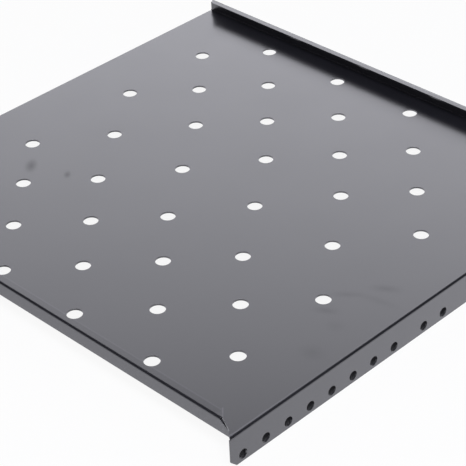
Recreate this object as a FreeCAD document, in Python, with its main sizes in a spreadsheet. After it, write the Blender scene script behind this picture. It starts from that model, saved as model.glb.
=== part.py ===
import FreeCAD, Part
import math
import os

import Sketcher

# Folded sheet-steel tray of a cantilever rack shelf: one blank, punched, slit at the
# front corners, then bent along five lines.  Frame: X across the shelf, Y from the
# front edge to the back stop, Z up, origin under the middle on the plane that the
# side flanges stand on.

DIMENSIONS = (
    ("sheet_thickness", 1.2),
    ("bend_inside_radius", 0.5),
    ("tray_width", 401.0),
    ("tray_depth", 383.5),
    ("side_flange_height", 23.5),
    ("side_flange_corner_cut", 4.5),
    ("front_flange_height", 11.0),
    ("front_flange_setback", 9.5),
    ("front_flange_side_gap", 0.5),
    ("corner_slit_inset", 18.0),
    ("corner_slit_gap", 0.3),
    ("corner_tab_knee_inset", 6.3),
    ("corner_tab_knee_setback", 5.4),
    ("corner_tab_setback", 0.8),
    ("back_stop_height", 10.8),
    ("back_stop_return", 7.2),
    ("back_stop_return_radius", 2.5),
    ("back_stop_end_gap", 0.5),
    ("back_stop_corner_cut", 4.0),
    ("back_relief_gap", 1.5),
    ("vent_diameter", 11.0),
    ("vent_pitch", 74.0),
    ("vent_row_pitch", 40.0),
    ("vent_middle_row_pitch", 50.0),
    ("vent_middle_from_front", 190.2),
    ("bolt_diameter", 7.0),
    ("bolt_pitch", 20.0),
    ("bolt_group_gap", 30.0),
    ("bolt_height", 5.5),
    ("cutter_overrun", 2.0),
)

WIDE_ROW_COUNT = 5
NARROW_ROW_COUNT = 4
LIKE_ROW_COUNT = 2
OUTER_BOLT_COUNT = 8
MIDDLE_BOLT_COUNT = 2

DERIVED = (
    ("bend_outside_radius", "=bend_inside_radius + sheet_thickness"),
    ("half_width", "=tray_width / 2"),
    ("side_inner_x", "=half_width - sheet_thickness"),
    ("side_tangent_x", "=half_width - bend_outside_radius"),
    ("deck_top_z", "=side_flange_height"),
    ("deck_under_z", "=deck_top_z - sheet_thickness"),
    ("down_tangent_z", "=deck_top_z - bend_outside_radius"),
    ("up_tangent_z", "=deck_under_z + bend_outside_radius"),
    ("front_end_y", "=-tray_depth / 2"),
    ("front_face_y", "=front_end_y + front_flange_setback"),
    ("front_inner_y", "=front_face_y + sheet_thickness"),
    ("front_tangent_y", "=front_face_y + bend_outside_radius"),
    ("front_flange_z", "=deck_top_z - front_flange_height"),
    ("front_flange_low_x", "=side_inner_x - front_flange_side_gap"),
    ("slant_start_z", "=deck_under_z - corner_slit_gap"),
    ("slit_start_x", "=half_width - corner_slit_inset"),
    ("front_flange_top_x", "=slit_start_x - corner_slit_gap"),
    ("corner_knee_x", "=half_width - corner_tab_knee_inset"),
    ("corner_knee_y", "=front_end_y + corner_tab_knee_setback"),
    ("corner_tab_y", "=front_end_y + corner_tab_setback"),
    ("stop_outer_y", "=tray_depth / 2"),
    ("stop_inner_y", "=stop_outer_y - sheet_thickness"),
    ("back_tangent_y", "=stop_outer_y - bend_outside_radius"),
    ("return_front_y", "=stop_outer_y - back_stop_return"),
    ("stop_top_z", "=deck_top_z + back_stop_height"),
    ("return_under_z", "=stop_top_z - sheet_thickness"),
    ("return_outside_radius", "=back_stop_return_radius + sheet_thickness"),
    ("return_tangent_y", "=stop_outer_y - return_outside_radius"),
    ("return_tangent_z", "=stop_top_z - return_outside_radius"),
    ("stop_end_x", "=half_width - back_stop_end_gap"),
    ("stop_width", "=stop_end_x * 2"),
    ("stop_cut_z", "=stop_top_z - back_stop_corner_cut"),
    ("stop_cut_x", "=stop_end_x - back_stop_corner_cut"),
    ("return_cut_x", "=stop_cut_x - return_tangent_y + return_front_y"),
    ("wall_cut_x", "=stop_cut_x + return_outside_radius"),
    ("side_back_y", "=back_tangent_y - back_relief_gap"),
    ("side_length", "=side_back_y - front_end_y"),
    ("side_front_cut_y", "=front_end_y + side_flange_corner_cut"),
    ("side_back_cut_y", "=side_back_y - side_flange_corner_cut"),
    ("vent_middle_y", "=front_end_y + vent_middle_from_front"),
    ("wide_row_x", "=-vent_pitch * %g" % ((WIDE_ROW_COUNT - 1) / 2)),
    ("narrow_row_x", "=-vent_pitch * %g" % ((NARROW_ROW_COUNT - 1) / 2)),
    ("like_row_pitch", "=vent_row_pitch * 2"),
    ("wide_front_row_y", "=-vent_middle_row_pitch - vent_row_pitch * 2"),
    ("wide_back_row_y", "=vent_middle_row_pitch"),
    ("narrow_front_row_y", "=-vent_middle_row_pitch - vent_row_pitch * 3"),
    ("narrow_back_row_y", "=vent_middle_row_pitch + vent_row_pitch"),
    ("bolt_middle_y", "=-bolt_pitch / 2"),
    ("bolt_back_y", "=bolt_pitch / 2 + bolt_group_gap"),
    ("bolt_front_y", "=-bolt_back_y - bolt_pitch * %d" % (OUTER_BOLT_COUNT - 1)),
    ("beyond_width_x", "=half_width + cutter_overrun"),
    ("beyond_front_y", "=front_end_y - cutter_overrun"),
    ("beyond_back_y", "=stop_outer_y + cutter_overrun"),
    ("beyond_top_z", "=stop_top_z + cutter_overrun"),
    ("below_z", "=-cutter_overrun"),
    ("across_length", "=tray_width + cutter_overrun * 2"),
    ("origin_line", "=0"),
)

doc = FreeCAD.newDocument("cantilever_rack_shelf")
sheet = doc.addObject("Spreadsheet::Sheet", "Dims")
for row, (alias, content) in enumerate(DIMENSIONS + DERIVED, start=1):
    sheet.set("A%d" % row, alias)
    sheet.set("B%d" % row, str(content))
    sheet.setAlias("B%d" % row, alias)
doc.recompute()


def signed(alias):
    """The alias without its leading minus sign, and the sign it stands for."""
    return (alias[1:], -1.0) if alias.startswith("-") else (alias, 1.0)


def value(alias):
    name, sign = signed(alias)
    return sign * float(getattr(sheet, name))


def bound(alias):
    name, sign = signed(alias)
    return "-Dims.%s" % name if sign < 0.0 else "Dims.%s" % name


def drive(feature, **aliases):
    for prop, alias in aliases.items():
        feature.setExpression(prop, bound(alias))


def sketch_on(body, role, name, **offsets):
    """A sketch on one of the body's origin planes, moved by named offsets."""
    plane = [item for item in body.Origin.OriginFeatures if item.Role == role][0]
    sketch = body.newObject("Sketcher::SketchObject", name)
    sketch.AttachmentSupport = [(plane, "")]
    sketch.MapMode = "FlatFace"
    for axis, alias in offsets.items():
        sketch.setExpression("AttachmentOffset.Base.%s" % axis, bound(alias))
    doc.recompute()
    return sketch


def pin(sketch, geometry, point, x_alias, y_alias):
    """Hold one point of a sketch at named distances from the sketch's origin."""
    for kind, alias in (("DistanceX", x_alias), ("DistanceY", y_alias)):
        if alias:
            constraint = Sketcher.Constraint(kind, -1, 1, geometry, point, value(alias))
            index = sketch.addConstraint(constraint)
            sketch.setExpression("Constraints[%d]" % index, bound(alias))


def closed_outline(sketch, corners):
    """A closed wire through named corners.  A corner may carry the centre of the
    quarter bend that leads on from it, as a third and fourth name."""
    points = [FreeCAD.Vector(value(c[0]), value(c[1]), 0) for c in corners]
    start_of = []
    end_of = []
    for index, corner in enumerate(corners):
        here = points[index]
        there = points[(index + 1) % len(points)]
        if len(corner) == 2:
            geometry = sketch.addGeometry(Part.LineSegment(here, there), False)
            start_of.append((geometry, 1))
            end_of.append((geometry, 2))
            continue
        centre = FreeCAD.Vector(value(corner[2]), value(corner[3]), 0)
        spoke_a = here - centre
        spoke_b = there - centre
        turns_left = spoke_a.cross(spoke_b).z > 0
        first, last = (spoke_a, spoke_b) if turns_left else (spoke_b, spoke_a)
        from_angle = math.atan2(first.y, first.x)
        to_angle = from_angle + math.pi / 2
        circle = Part.Circle(centre, FreeCAD.Vector(0, 0, 1), spoke_a.Length)
        geometry = sketch.addGeometry(Part.ArcOfCircle(circle, from_angle, to_angle), False)
        start_of.append((geometry, 1 if turns_left else 2))
        end_of.append((geometry, 2 if turns_left else 1))
        pin(sketch, geometry, 3, corner[2], None)
    for index, corner in enumerate(corners):
        before = end_of[index - 1]
        after = start_of[index]
        sketch.addConstraint(Sketcher.Constraint("Coincident", *before, *after))
        pin(sketch, after[0], after[1], corner[0], corner[1])


def round_hole(sketch, x_alias, y_alias, diameter_alias):
    centre = FreeCAD.Vector(value(x_alias), value(y_alias), 0)
    radius = value(diameter_alias) / 2
    circle = Part.Circle(centre, FreeCAD.Vector(0, 0, 1), radius)
    geometry = sketch.addGeometry(circle, False)
    pin(sketch, geometry, 3, x_alias, y_alias)
    index = sketch.addConstraint(Sketcher.Constraint("Diameter", geometry, radius * 2))
    sketch.setExpression("Constraints[%d]" % index, bound(diameter_alias))


def volume_of(body):
    return 0.0 if body.Shape.isNull() else body.Shape.Volume


def swept(body, kind, name, sketch, length_alias, symmetric=False, reverse=False):
    """A Pad or Pocket of the sketch, checked to have changed the solid."""
    before = volume_of(body)
    feature = body.newObject("PartDesign::%s" % kind, name)
    feature.Profile = sketch
    feature.SideType = "Symmetric" if symmetric else "One side"
    feature.Reversed = reverse
    drive(feature, Length=length_alias)
    sketch.Visibility = False
    doc.recompute()
    change = volume_of(body) - before
    grew = change > 0
    if grew != (kind == "Pad") or change == 0:
        raise RuntimeError("%s changed nothing" % name)
    return feature


def repeated(body, name, pocket, sketch, across, along=None):
    """A grid of copies of a pocket: (count, spacing alias) along each sketch axis."""
    pattern = body.newObject("PartDesign::LinearPattern", name)
    pattern.Originals = [pocket]
    for suffix, axis, steps in (("", "H_Axis", across), ("2", "V_Axis", along)):
        if steps:
            count, spacing = steps
            setattr(pattern, "Direction" + suffix, (sketch, [axis]))
            setattr(pattern, "Mode" + suffix, "Extent")
            setattr(pattern, "Occurrences" + suffix, count)
            pattern.setExpression("Length" + suffix, "%s * %d" % (bound(spacing), count - 1))
    body.Tip = pattern
    doc.recompute()


tray = doc.addObject("PartDesign::Body", "shelf_tray")
tray.Label = "shelf_tray"

# Front flange: quarter bend and a short leg hanging from the deck's front edge.
front_profile = sketch_on(tray, "YZ_Plane", "front_flange_profile")
closed_outline(front_profile, (
    ("front_tangent_y", "deck_under_z"),
    ("front_tangent_y", "deck_top_z", "front_tangent_y", "down_tangent_z"),
    ("front_face_y", "down_tangent_z"),
    ("front_face_y", "front_flange_z"),
    ("front_inner_y", "front_flange_z"),
    ("front_inner_y", "down_tangent_z", "front_tangent_y", "down_tangent_z"),
))
swept(tray, "Pad", "front_flange", front_profile, "across_length", symmetric=True)

# Its ends are cut on a slant, to fold past the corner tabs and the side flanges.
for side, name in (("", "right"), ("-", "left")):
    end_cut = sketch_on(tray, "XZ_Plane", "front_flange_%s_end" % name)
    closed_outline(end_cut, (
        (side + "front_flange_top_x", "deck_top_z"),
        (side + "front_flange_top_x", "slant_start_z"),
        (side + "front_flange_low_x", "front_flange_z"),
        (side + "front_flange_low_x", "below_z"),
        (side + "across_length", "below_z"),
        (side + "across_length", "beyond_top_z"),
        (side + "front_flange_top_x", "beyond_top_z"),
    ))
    swept(tray, "Pocket", "front_flange_%s_slant" % name, end_cut, "tray_depth",
          reverse=True)

# Deck: the flat of the sheet, with a tapering tab beside each front corner slit.
deck_outline = sketch_on(tray, "XY_Plane", "deck_outline", z="deck_under_z")
closed_outline(deck_outline, (
    ("slit_start_x", "front_tangent_y"),
    ("corner_knee_x", "corner_knee_y"),
    ("side_tangent_x", "corner_tab_y"),
    ("side_tangent_x", "back_tangent_y"),
    ("-side_tangent_x", "back_tangent_y"),
    ("-side_tangent_x", "corner_tab_y"),
    ("-corner_knee_x", "corner_knee_y"),
    ("-slit_start_x", "front_tangent_y"),
))
swept(tray, "Pad", "deck", deck_outline, "sheet_thickness")

# Side flanges: bent down along both long edges, one profile each.
for side, name in (("", "right"), ("-", "left")):
    side_profile = sketch_on(tray, "XZ_Plane", "%s_flange_profile" % name,
                             z="-front_end_y")
    closed_outline(side_profile, (
        (side + "side_tangent_x", "deck_under_z"),
        (side + "side_tangent_x", "deck_top_z", side + "side_tangent_x", "down_tangent_z"),
        (side + "half_width", "down_tangent_z"),
        (side + "half_width", "origin_line"),
        (side + "side_inner_x", "origin_line"),
        (side + "side_inner_x", "down_tangent_z", side + "side_tangent_x", "down_tangent_z"),
    ))
    swept(tray, "Pad", "%s_flange" % name, side_profile, "side_length", reverse=True)

# The bend's front end carries on the line of the tab, to the tip of the flange.
for side, name in (("", "right"), ("-", "left")):
    tip_cut = sketch_on(tray, "XY_Plane", "%s_tip_cut" % name, z="deck_top_z")
    closed_outline(tip_cut, (
        (side + "side_tangent_x", "corner_tab_y"),
        (side + "half_width", "front_end_y"),
        (side + "half_width", "beyond_front_y"),
        (side + "side_tangent_x", "beyond_front_y"),
    ))
    swept(tray, "Pocket", "%s_tip" % name, tip_cut, "bend_outside_radius")

# Clipped lower corners of both side flanges.
for edge, cut, beyond, name in (
    ("front_end_y", "side_front_cut_y", "beyond_front_y", "front"),
    ("side_back_y", "side_back_cut_y", "beyond_back_y", "back"),
):
    corner = sketch_on(tray, "YZ_Plane", "side_%s_corner" % name)
    closed_outline(corner, (
        (cut, "origin_line"),
        (edge, "side_flange_corner_cut"),
        (beyond, "side_flange_corner_cut"),
        (beyond, "below_z"),
        (cut, "below_z"),
    ))
    swept(tray, "Pocket", "side_%s_clip" % name, corner, "across_length", symmetric=True)

# Back stop: bent up, with its top edge returned towards the front on a wider radius.
stop_profile = sketch_on(tray, "YZ_Plane", "back_stop_profile")
closed_outline(stop_profile, (
    ("back_tangent_y", "deck_under_z", "back_tangent_y", "up_tangent_z"),
    ("stop_outer_y", "up_tangent_z"),
    ("stop_outer_y", "return_tangent_z", "return_tangent_y", "return_tangent_z"),
    ("return_tangent_y", "stop_top_z"),
    ("return_front_y", "stop_top_z"),
    ("return_front_y", "return_under_z"),
    ("return_tangent_y", "return_under_z", "return_tangent_y", "return_tangent_z"),
    ("stop_inner_y", "return_tangent_z"),
    ("stop_inner_y", "up_tangent_z", "back_tangent_y", "up_tangent_z"),
    ("back_tangent_y", "deck_top_z"),
))
swept(tray, "Pad", "back_stop", stop_profile, "stop_width", symmetric=True)

# Its upper corners are clipped, and the return is mitred in the same line.
for side, name in (("", "right"), ("-", "left")):
    stop_corner = sketch_on(tray, "XZ_Plane", "stop_%s_corner" % name)
    closed_outline(stop_corner, (
        (side + "stop_cut_x", "stop_top_z"),
        (side + "stop_end_x", "stop_cut_z"),
        (side + "beyond_width_x", "stop_cut_z"),
        (side + "beyond_width_x", "beyond_top_z"),
        (side + "stop_cut_x", "beyond_top_z"),
    ))
    swept(tray, "Pocket", "stop_%s_clip" % name, stop_corner, "tray_depth")
    mitre = sketch_on(tray, "XY_Plane", "return_%s_mitre" % name, z="stop_top_z")
    closed_outline(mitre, (
        (side + "return_cut_x", "return_front_y"),
        (side + "wall_cut_x", "stop_outer_y"),
        (side + "beyond_width_x", "stop_outer_y"),
        (side + "beyond_width_x", "return_front_y"),
    ))
    swept(tray, "Pocket", "return_%s_cut" % name, mitre, "return_outside_radius")

# Vent holes: wide and narrow rows take turns, with a wider step beside the middle row.
for name, x_alias, rows, count in (
    ("wide_rows", "wide_row_x", ("wide_front_row_y", "wide_back_row_y"), WIDE_ROW_COUNT),
    ("narrow_rows", "narrow_row_x", ("narrow_front_row_y", "narrow_back_row_y"),
     NARROW_ROW_COUNT),
    ("middle_row", "narrow_row_x", ("origin_line",), NARROW_ROW_COUNT),
):
    seed = sketch_on(tray, "XY_Plane", "%s_seed" % name, y="vent_middle_y", z="deck_top_z")
    for y_alias in rows:
        round_hole(seed, x_alias, y_alias, "vent_diameter")
    first_vents = swept(tray, "Pocket", "%s_first" % name, seed, "bend_outside_radius")
    along = (LIKE_ROW_COUNT, "like_row_pitch") if len(rows) > 1 else None
    repeated(tray, name, first_vents, seed, (count, "vent_pitch"), along)

# Bolt holes: one drilling passes through both side flanges.
for name, groups, count in (
    ("outer_bolts", ("bolt_front_y", "bolt_back_y"), OUTER_BOLT_COUNT),
    ("middle_bolts", ("bolt_middle_y",), MIDDLE_BOLT_COUNT),
):
    seed = sketch_on(tray, "YZ_Plane", "%s_seed" % name, x="vent_middle_y")
    for y_alias in groups:
        round_hole(seed, y_alias, "bolt_height", "bolt_diameter")
    first_bolts = swept(tray, "Pocket", "%s_first" % name, seed, "across_length",
                        symmetric=True)
    repeated(tray, name, first_bolts, seed, (count, "bolt_pitch"))

doc.recompute()
for item in doc.Objects:
    if "Invalid" in item.State or "Error" in item.State:
        raise RuntimeError("%s did not compute: %s" % (item.Name, item.State))
    if hasattr(item, "Shape") and (item.Shape.isNull() or not item.Shape.isValid()):
        raise RuntimeError("%s has no valid shape" % item.Name)
if len(tray.Shape.Solids) != 1:
    raise RuntimeError("the tray is not one solid")

os.makedirs("parts", exist_ok=True)
tray.Shape.exportStep("parts/shelf_tray.step")
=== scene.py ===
import math

import bpy
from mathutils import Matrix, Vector

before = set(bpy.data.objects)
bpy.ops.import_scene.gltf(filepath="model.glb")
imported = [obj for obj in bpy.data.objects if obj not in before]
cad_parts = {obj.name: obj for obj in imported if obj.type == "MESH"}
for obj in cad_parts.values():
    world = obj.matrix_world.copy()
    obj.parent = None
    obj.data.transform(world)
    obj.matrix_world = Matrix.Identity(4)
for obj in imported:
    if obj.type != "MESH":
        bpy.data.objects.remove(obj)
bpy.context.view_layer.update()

MM = 0.001
DECK_TOP = 23.5             # height of the deck's face above the feet, in millimetres
WHITE = "#ffffff"
DAYLIGHT = "#f7f7ff"        # what the lamps and the room give: white, a little cool

MATH = "ShaderNodeMath"
RAMP = "ShaderNodeMapRange"  # sockets: value, from least, from most, to least, to most


def linear(hex_colour):
    """An sRGB hex colour as linear RGBA."""
    channels = [int(hex_colour[i:i + 2], 16) / 255 for i in (1, 3, 5)]
    return tuple(c / 12.92 if c <= 0.04045 else ((c + 0.055) / 1.055) ** 2.4
                 for c in channels) + (1.0,)


def add(tree, kind, sockets=(), **settings):
    """Adds a node.  Settings are the node's own.  Sockets are named, or listed in order;
    each takes a value, a socket to link, or a node, which links its first output."""
    node = tree.nodes.new(kind)
    for name, value in settings.items():
        setattr(node, name, value)
    wanted = sockets.items() if isinstance(sockets, dict) else enumerate(sockets)
    for key, value in wanted:
        if isinstance(value, bpy.types.Node):
            value = value.outputs[0]
        if isinstance(value, bpy.types.NodeSocket):
            tree.links.new(value, node.inputs[key])
        else:
            node.inputs[key].default_value = value
    return node


def new_material(name):
    material = bpy.data.materials.new(name)
    material.use_nodes = True
    material.node_tree.nodes.clear()
    return material


# ---- marks and a painted highlight on the deck, in millimetres -----------------

DIE_LINE = -175.95          # y of the die's shoulder, one line along the front bend
DIE_CORNER = 178.4          # |x| where it turns towards the corner slit at 45 degrees
SIDE_CREASE = 198.3         # |x| of the edge of each side bend
DIP_RUN, DIP_DEPTH = 4.6, 0.07

# scuffs from handling: middle, half length, half width, direction in degrees, how dull
SCUFFS = (
    ((156.0, -37.5), 13.0, 4.6, 38.0, 0.30), ((176.0, -29.0), 22.0, 5.0, 10.0, 0.22),
    ((171.0, -15.5), 14.0, 5.5, 32.0, 0.38), ((157.8, -59.5), 12.0, 5.0, 30.0, 0.36),
    ((173.0, -68.0), 9.0, 7.0, 13.0, 0.22), ((181.0, -98.0), 12.0, 10.0, 13.0, 0.32),
    ((-124.8, -72.6), 11.0, 5.4, 133.0, 0.85), ((-95.2, -62.8), 6.0, 3.4, 134.0, 0.8),
)


def dip_lines_and_highlight(tree, x, y):
    """The strip in front of the die's shoulder dips a little towards the bend, as folding
    leaves it.  Faint pale lines run along the shoulder, and a painted highlight runs along
    the edge of each side bend, strongest at the front.  Gives the dip in metres and the
    lines' strength."""
    out = add(tree, MATH, [x], operation="ABSOLUTE")
    ahead = add(tree, MATH, [DIE_LINE * MM, y], operation="SUBTRACT")
    beyond = add(tree, MATH, [out, DIE_CORNER * MM], operation="SUBTRACT")
    diagonal = add(tree, MATH, [ahead, beyond], operation="SUBTRACT")
    turned = add(tree, MATH, [diagonal, math.sqrt(0.5)], operation="MULTIPLY")
    inside = add(tree, MATH, [ahead, turned], operation="MINIMUM")
    dip = add(tree, RAMP, [inside, 0.0, DIP_RUN * MM, 0.0, -DIP_DEPTH * MM])

    off_crease = add(tree, MATH, [out, SIDE_CREASE * MM], operation="SUBTRACT")
    # Each line: how far a spot is from its middle, its half width at full strength and
    # with its soft edge, its strength, and how it fades in or out along its length.
    lines = (
        (inside, 0.3, 0.8, 0.35, ()),
        (turned, 0.2, 0.6, 0.9, ((out, 176.2, 176.8, 0.0, 1.0),
                                 (out, 182.4, 183.0, 1.0, 0.0))),
        # The painted highlight along the edge of the side bend, fading towards the back.
        (off_crease, 0.4, 0.8, 1.0, ((y, -187.0, -110.0, 1.0, 0.15),)),
    )
    strongest = 0.0
    for offset, full, soft, strength, fades in lines:
        away = add(tree, MATH, [offset], operation="ABSOLUTE")
        line = add(tree, RAMP, [away, full * MM, soft * MM, strength, 0.0])
        for along, start, end, first, last in fades:
            fade = add(tree, RAMP, [along, start * MM, end * MM, first, last])
            line = add(tree, MATH, [line, fade], operation="MULTIPLY")
        strongest = add(tree, MATH, [strongest, line], operation="MAXIMUM")
    return dip, strongest


def dulled(tree, place):
    """How far handling has dulled the gloss of the deck: a few scuffs and two spots."""
    total = 0.0
    for (x, y), half_length, half_width, turn, strength in SCUFFS:
        patch = add(tree, "ShaderNodeMapping",
                    {"Vector": place, "Location": (x * MM, y * MM, DECK_TOP * MM),
                     "Rotation": (0.0, 0.0, math.radians(turn)),
                     "Scale": (half_length * MM, half_width * MM, 1.0 * MM)},
                    vector_type="TEXTURE")
        patch = add(tree, "ShaderNodeTexGradient", [patch], gradient_type="SPHERICAL")
        total = add(tree, MATH, [patch.outputs["Fac"], strength, total],
                    operation="MULTIPLY_ADD")
    return total


# ---- materials -----------------------------------------------------------------

PEEL, PEEL_HEIGHT = 2.2, 0.03       # orange peel, crest to crest, in millimetres
SPRAY_CLOUD = 45.0                  # how far apart the spray laid thicker and thinner
SHEARED_EDGE = 0.2                  # how the coat rounds the sheet's sheared edges
HAZE = (0.29, 0.33)                 # roughness of the body, where thick and where thin
SCUFF_HAZE = 0.6                    # what a full scuff adds to it
RESIN_IOR = 1.7


def semi_gloss_black_powder_coat():
    """Black polyester powder, sprayed and oven cured.  The pigmented body is nearly
    black; the resin that floats to the top as it cures is what shines, so the sheet
    mirrors softboxes and floor with edges softened by fine orange peel."""
    material = new_material("semi_gloss_black_powder_coat")
    tree = material.node_tree
    place = add(tree, "ShaderNodeTexCoord").outputs["Object"]
    at = add(tree, "ShaderNodeSeparateXYZ", [place])
    dip, pale_lines_and_highlight = dip_lines_and_highlight(tree, at.outputs["X"], at.outputs["Y"])

    peel = add(tree, "ShaderNodeTexNoise",
               {"Vector": place, "Scale": 1 / (PEEL * MM), "Detail": 2.0}).outputs["Fac"]
    cloud = add(tree, "ShaderNodeTexNoise",
                {"Vector": place, "Scale": 1 / (SPRAY_CLOUD * MM), "Detail": 3.0})
    cloud = cloud.outputs["Fac"]
    body = add(tree, "ShaderNodeMix",
               {"Factor": cloud, 6: linear("#1c1c21"), 7: linear("#202026")},
               data_type="RGBA").outputs[2]
    # Pale lines along the die's shoulder, and a painted highlight along each side bend's
    # edge, mixed into the body colour.
    body = add(tree, "ShaderNodeMix",
               {"Factor": pale_lines_and_highlight, 6: body, 7: linear("#4a4a50")},
               data_type="RGBA").outputs[2]
    haze = add(tree, RAMP, [cloud, 0.3, 0.7, *HAZE])
    haze = add(tree, MATH, [dulled(tree, place), SCUFF_HAZE, haze],
               operation="MULTIPLY_ADD")

    # The rounding of the sheared edges, the dip at the front bend, then the peel.
    edge = add(tree, "ShaderNodeBevel", {"Radius": SHEARED_EDGE * MM}, samples=4)
    pressed = add(tree, "ShaderNodeBump",
                  {"Height": dip, "Strength": 1.0, "Distance": 1.0, "Normal": edge})
    surface = add(tree, "ShaderNodeBump",
                  {"Height": peel, "Strength": 0.08, "Distance": PEEL_HEIGHT * MM,
                   "Normal": pressed})
    shader = add(tree, "ShaderNodeBsdfPrincipled",
                 {"Base Color": body, "Roughness": haze, "IOR": RESIN_IOR,
                  "Coat Weight": 1.0, "Coat Roughness": 0.22, "Coat IOR": RESIN_IOR,
                  "Normal": surface, "Coat Normal": surface})
    add(tree, "ShaderNodeOutputMaterial", {"Surface": shader})
    return material


def matt_paper(name, colour):
    """Plain matt paper, which keeps the shelf's shade."""
    material = new_material(name)
    tree = material.node_tree
    paper = add(tree, "ShaderNodeBsdfDiffuse", {"Color": linear(colour)})
    add(tree, "ShaderNodeOutputMaterial", {"Surface": paper})
    return material


def lit_paper(name, colour, to_lens, dimmest, falloff):
    """Matt paper lit as a backdrop.  It glows plain white to the lens.  In gloss and glass
    its glow is daylight, full at the back right and dimmer towards the front left; the
    falloff is the x + y, in millimetres, where it is dimmest and where it is full.
    What it does not glow is paper, and keeps the shelf's soft shadow."""
    material = new_material(name)
    tree = material.node_tree
    path = add(tree, "ShaderNodeLightPath")
    lens = path.outputs["Is Camera Ray"]
    mirrored = add(tree, MATH, [path.outputs["Is Glossy Ray"],
                                path.outputs["Is Transmission Ray"]], operation="MAXIMUM")
    share = add(tree, MATH, [lens, to_lens, mirrored], operation="MULTIPLY_ADD")

    spot = add(tree, "ShaderNodeNewGeometry").outputs["Position"]
    spot = add(tree, "ShaderNodeSeparateXYZ", [spot])
    across = add(tree, MATH, [spot.outputs["X"], spot.outputs["Y"]], operation="ADD")
    level = add(tree, RAMP, [across, falloff[0] * MM, falloff[1] * MM, dimmest, 1.0])
    level = add(tree, "ShaderNodeMix", {"Factor": lens, 2: level, 3: 1.0},
                data_type="FLOAT")
    tint = add(tree, "ShaderNodeMix",
               {"Factor": lens, 6: linear(DAYLIGHT), 7: linear(WHITE)},
               data_type="RGBA").outputs[2]
    glow = add(tree, "ShaderNodeEmission", {"Color": tint, "Strength": level})
    paper = add(tree, "ShaderNodeBsdfDiffuse", {"Color": linear(colour)})
    mix = add(tree, "ShaderNodeMixShader", [share, paper, glow])
    add(tree, "ShaderNodeOutputMaterial", {"Surface": mix})
    return material


# ---- the shelf -----------------------------------------------------------------

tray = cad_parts["shelf_tray"]
coat = semi_gloss_black_powder_coat()
for slot in tray.material_slots:
    slot.material = coat


# ---- studio --------------------------------------------------------------------

def sheet_of_paper(name, corners, height, material):
    """A flat sheet on the floor, from its corners in millimetres."""
    mesh = bpy.data.meshes.new(name)
    mesh.from_pydata([(x * MM, y * MM, height * MM) for x, y in corners], [],
                     [range(len(corners))])
    mesh.materials.append(material)
    piece = bpy.data.objects.new(name, mesh)
    bpy.context.scene.collection.objects.link(piece)


def softbox(name, azimuth, elevation, distance, width, height, radiance,
            across=0.0, upward=0.0):
    """A rectangular area lamp aimed at the shelf, by the brightness of its face, which
    may fall off along the face as a real softbox does away from its bulb."""
    lamp = bpy.data.lights.new(name, "AREA")
    lamp.shape = "RECTANGLE"
    lamp.size, lamp.size_y = width, height
    lamp.energy = radiance * math.pi * width * height
    lamp.color = linear(DAYLIGHT)[:3]
    lamp.use_nodes = True
    tree = lamp.node_tree
    tree.nodes.clear()
    face = add(tree, "ShaderNodeNewGeometry").outputs["Parametric"]
    face = add(tree, "ShaderNodeSeparateXYZ", [face])
    level = 1.0
    for axis, fall in (("X", across), ("Y", upward)):
        slope = add(tree, RAMP, [face.outputs[axis], 0.0, 1.0, 1 - fall, 1 + fall])
        level = add(tree, MATH, [level, slope], operation="MULTIPLY")
    glow = add(tree, "ShaderNodeEmission", {"Strength": level})
    add(tree, "ShaderNodeOutputLight", {"Surface": glow})

    holder = bpy.data.objects.new(name, lamp)
    a, e = math.radians(azimuth), math.radians(elevation)
    out = Vector((math.cos(e) * math.cos(a), math.cos(e) * math.sin(a), math.sin(e)))
    holder.location = out * distance
    holder.rotation_mode = "QUATERNION"
    holder.rotation_quaternion = out.to_track_quat("Z", "Y")
    holder.visible_camera = False
    bpy.context.scene.collection.objects.link(holder)


BACKDROP_REACH = 8000       # how far the backdrop goes each way, in millimetres
BACKDROP_GLOW = 0.92        # how much of the white that the lens sees is glow

# A dark grey sheet on the floor beside the right flange, painted shade for the deep shade
# that the bolt holes look into, with a tail at the front that the slit at the corner looks
# into.
SHADE = ((159, -162.5), (175.5, -170.8), (187, -172), (187, -179), (191, -183), (199, -183),
         (199, 187), (187, 187), (187, -167), (177.5, -167), (161, -159))
SHADE_LIFT = 0.2            # clear of the backdrop

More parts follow.
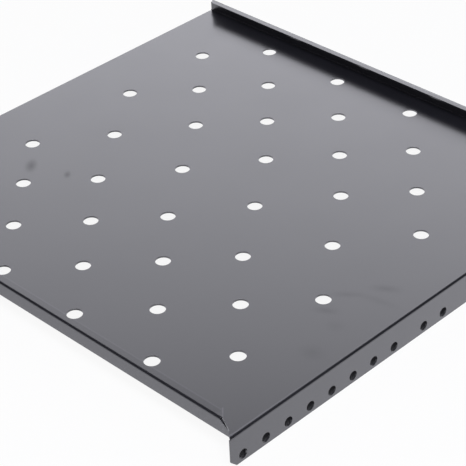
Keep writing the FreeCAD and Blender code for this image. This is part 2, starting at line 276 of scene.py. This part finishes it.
backdrop_paper = lit_paper("lit_backdrop_paper", "#f2f2f2", BACKDROP_GLOW,
                           dimmest=0.66, falloff=(-400, 300))
sheet_of_paper("backdrop",
               [(BACKDROP_REACH * x, BACKDROP_REACH * y)
                for x, y in ((-1, -1), (1, -1), (1, 1), (-1, 1))], 0.0, backdrop_paper)
# Its dark grey colour is painted shade.
painted_shade_paper = matt_paper("painted_shade_paper", "#6a6a6c")
for hand, side in (("right", 1), ("left", -1)):
    sheet_of_paper(hand + "_shade", [(side * x, y) for x, y in SHADE], SHADE_LIFT,
                   painted_shade_paper)

# name, azimuth, elevation, distance, width, height, radiance
softbox("back_softbox", 136.5, 31.0, 2.6, 2.7, 1.6, 1.5, across=-0.2, upward=-0.48)
softbox("front_softbox", -43.5, 30.0, 2.8, 2.0, 1.6, 1.5)
softbox("overhead_softbox", -43.5, 66.0, 2.6, 1.6, 1.6, 7.0)

# The room is pale at the horizon and dark above it; the lens sees the backdrop's white.
HORIZON, DARK = 0.9, 0.03
HORIZON_TOP = 0.07          # sine of the elevation where the dark begins

world = bpy.data.worlds.new("studio")
world.use_nodes = True
room = world.node_tree
room.nodes.clear()
direction = add(room, "ShaderNodeTexCoord").outputs["Generated"]
height = add(room, "ShaderNodeSeparateXYZ", [direction]).outputs["Z"]
walls = add(room, RAMP, [height, 0.0, HORIZON_TOP, HORIZON, DARK],
            interpolation_type="SMOOTHSTEP")
walls = add(room, "ShaderNodeBackground", [linear(DAYLIGHT), walls])
white = add(room, "ShaderNodeBackground", [linear(WHITE), BACKDROP_GLOW])
lens = add(room, "ShaderNodeLightPath").outputs["Is Camera Ray"]
shown = add(room, "ShaderNodeMixShader", [lens, walls, white])
add(room, "ShaderNodeOutputWorld", {"Surface": shown})
bpy.context.scene.world = world


# ---- camera --------------------------------------------------------------------

camera = bpy.data.objects.new("camera", bpy.data.cameras.new("camera"))
camera.data.sensor_width = 36.0
camera.data.lens = 139.49
camera.data.clip_start, camera.data.clip_end = 0.05, 50.0
camera.location = (0.79475, -0.75294, 0.73238)
camera.rotation_euler = [math.radians(a) for a in (55.540, 2.204, 44.610)]
bpy.context.scene.collection.objects.link(camera)
bpy.context.scene.camera = camera

bpy.context.scene.view_settings.view_transform = "Standard"
